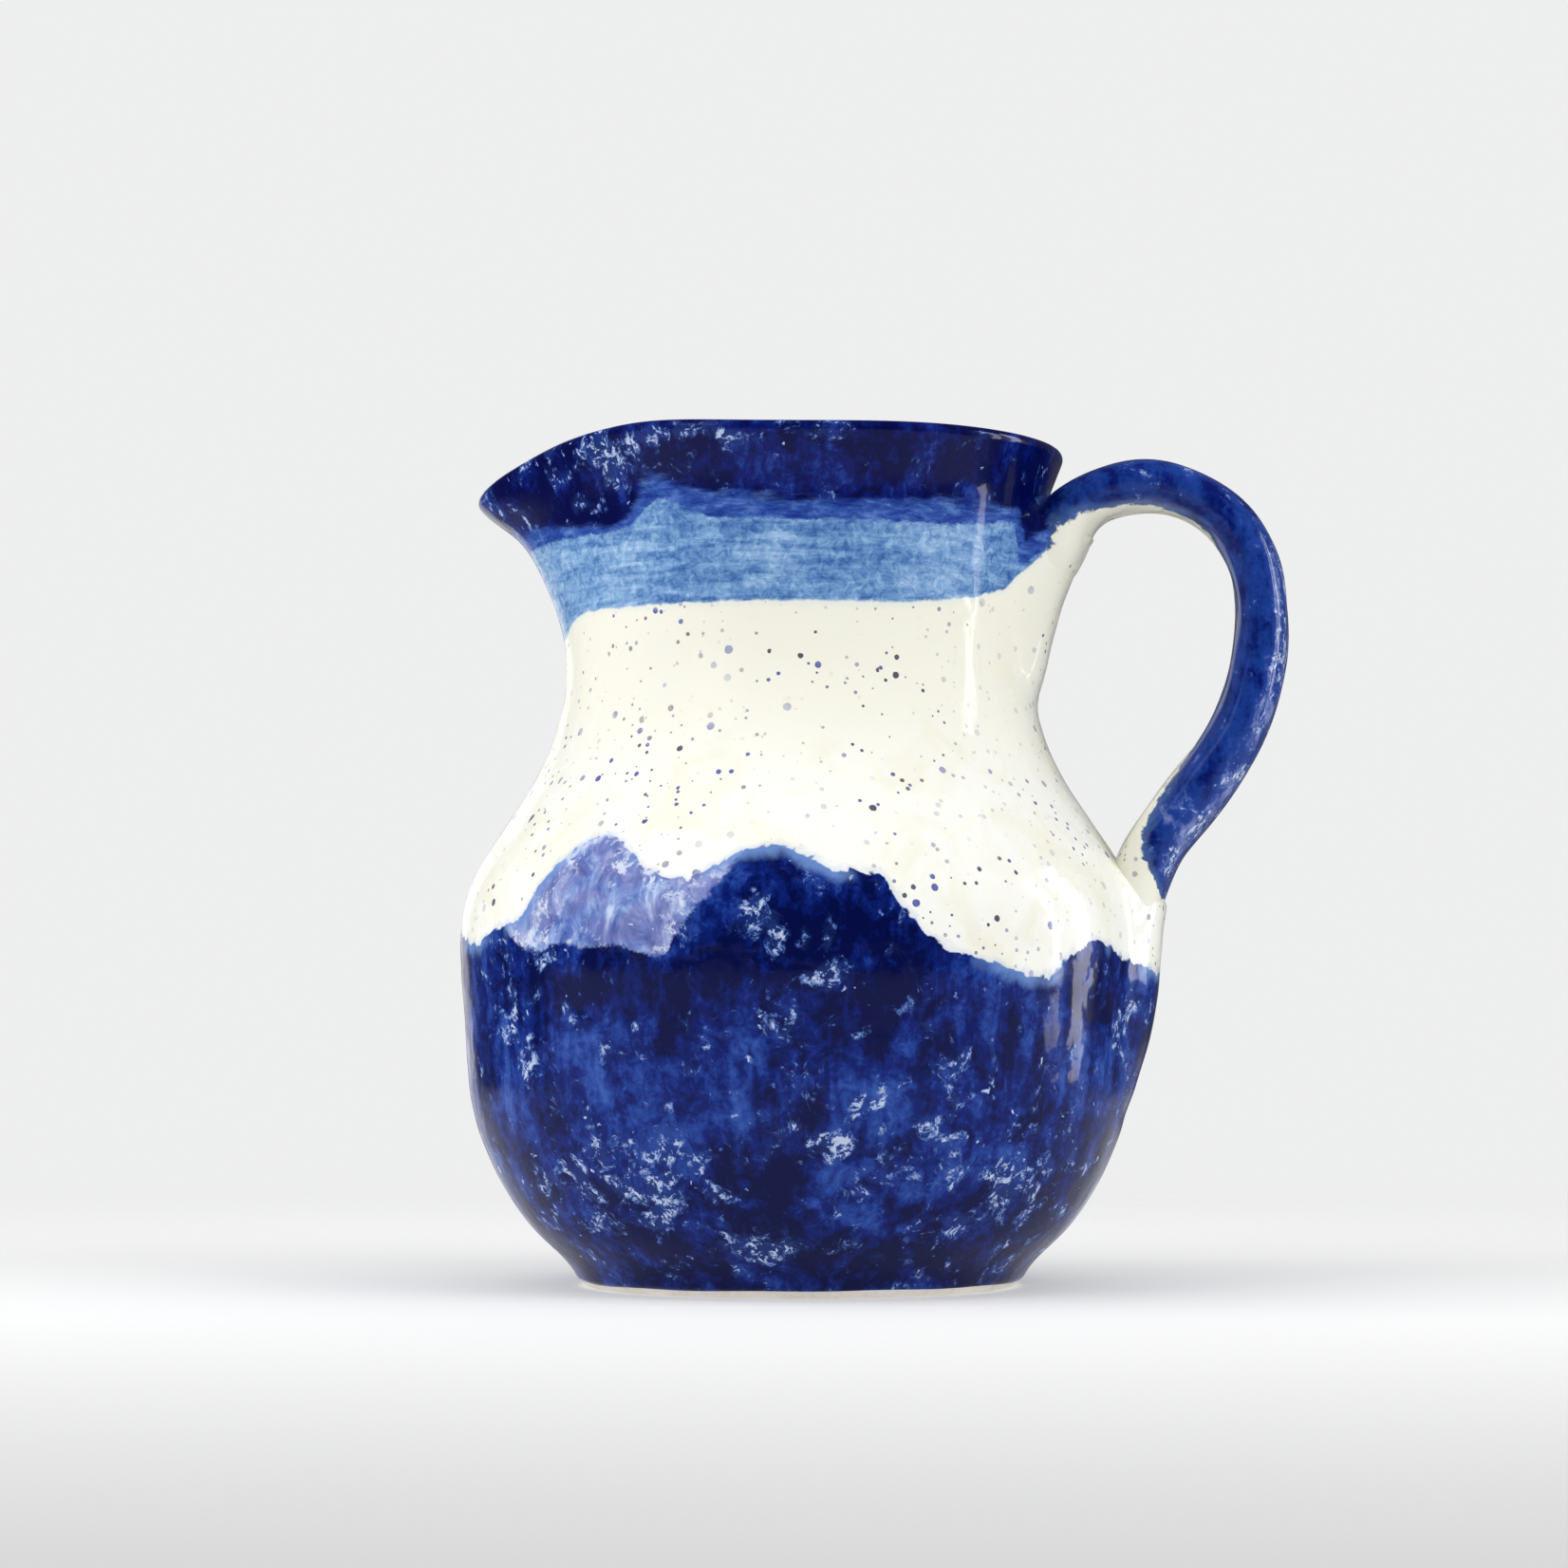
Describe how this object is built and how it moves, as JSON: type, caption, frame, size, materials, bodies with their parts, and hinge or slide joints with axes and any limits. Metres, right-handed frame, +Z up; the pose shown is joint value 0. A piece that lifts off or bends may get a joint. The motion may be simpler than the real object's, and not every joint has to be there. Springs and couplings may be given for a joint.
{
  "type": "ceramic pitcher",
  "caption": "Round-bellied stoneware pitcher with a pulled spout and strap handle, cream glaze over blue painted mountains and a dark blue rim.",
  "frame": {"origin": "on the pot's own axis, in the plane of the foot ring that it stands on", "axes": "+Z up the pot's axis, +X towards the handle, -X towards the spout, Y across both"},
  "size_m": [0.1826, 0.15, 0.1835],
  "materials": {
    "stoneware": "fired bare stoneware, matte, fine grog",
    "joint_glaze": "gloss cream glaze over smeared clay",
    "liner_glaze": "gloss cream liner glaze with fine specks",
    "cream_glaze": "gloss cream glaze with cobalt specks",
    "mountain_glaze": "gloss mottled cobalt with pale veins",
    "collar_wash": "gloss brushed light blue wash",
    "rim_glaze": "gloss dark cobalt with pale flecks",
    "handle_blue_glaze": "gloss cobalt broken pale along the strap's edges",
    "handle_cream_glaze": "gloss cream glaze"
  },
  "bodies": {
    "root": {"body": "stoneware", "handle": "stoneware", "upper_joint": "joint_glaze", "lower_joint": "joint_glaze", "liner_glaze": "liner_glaze", "cream_glaze": "cream_glaze", "mountain_glaze": "mountain_glaze", "collar_wash": "collar_wash", "rim_glaze": "rim_glaze", "handle_blue_glaze": "handle_blue_glaze", "handle_cream_glaze": "handle_cream_glaze"}
  },
  "joints": []
}
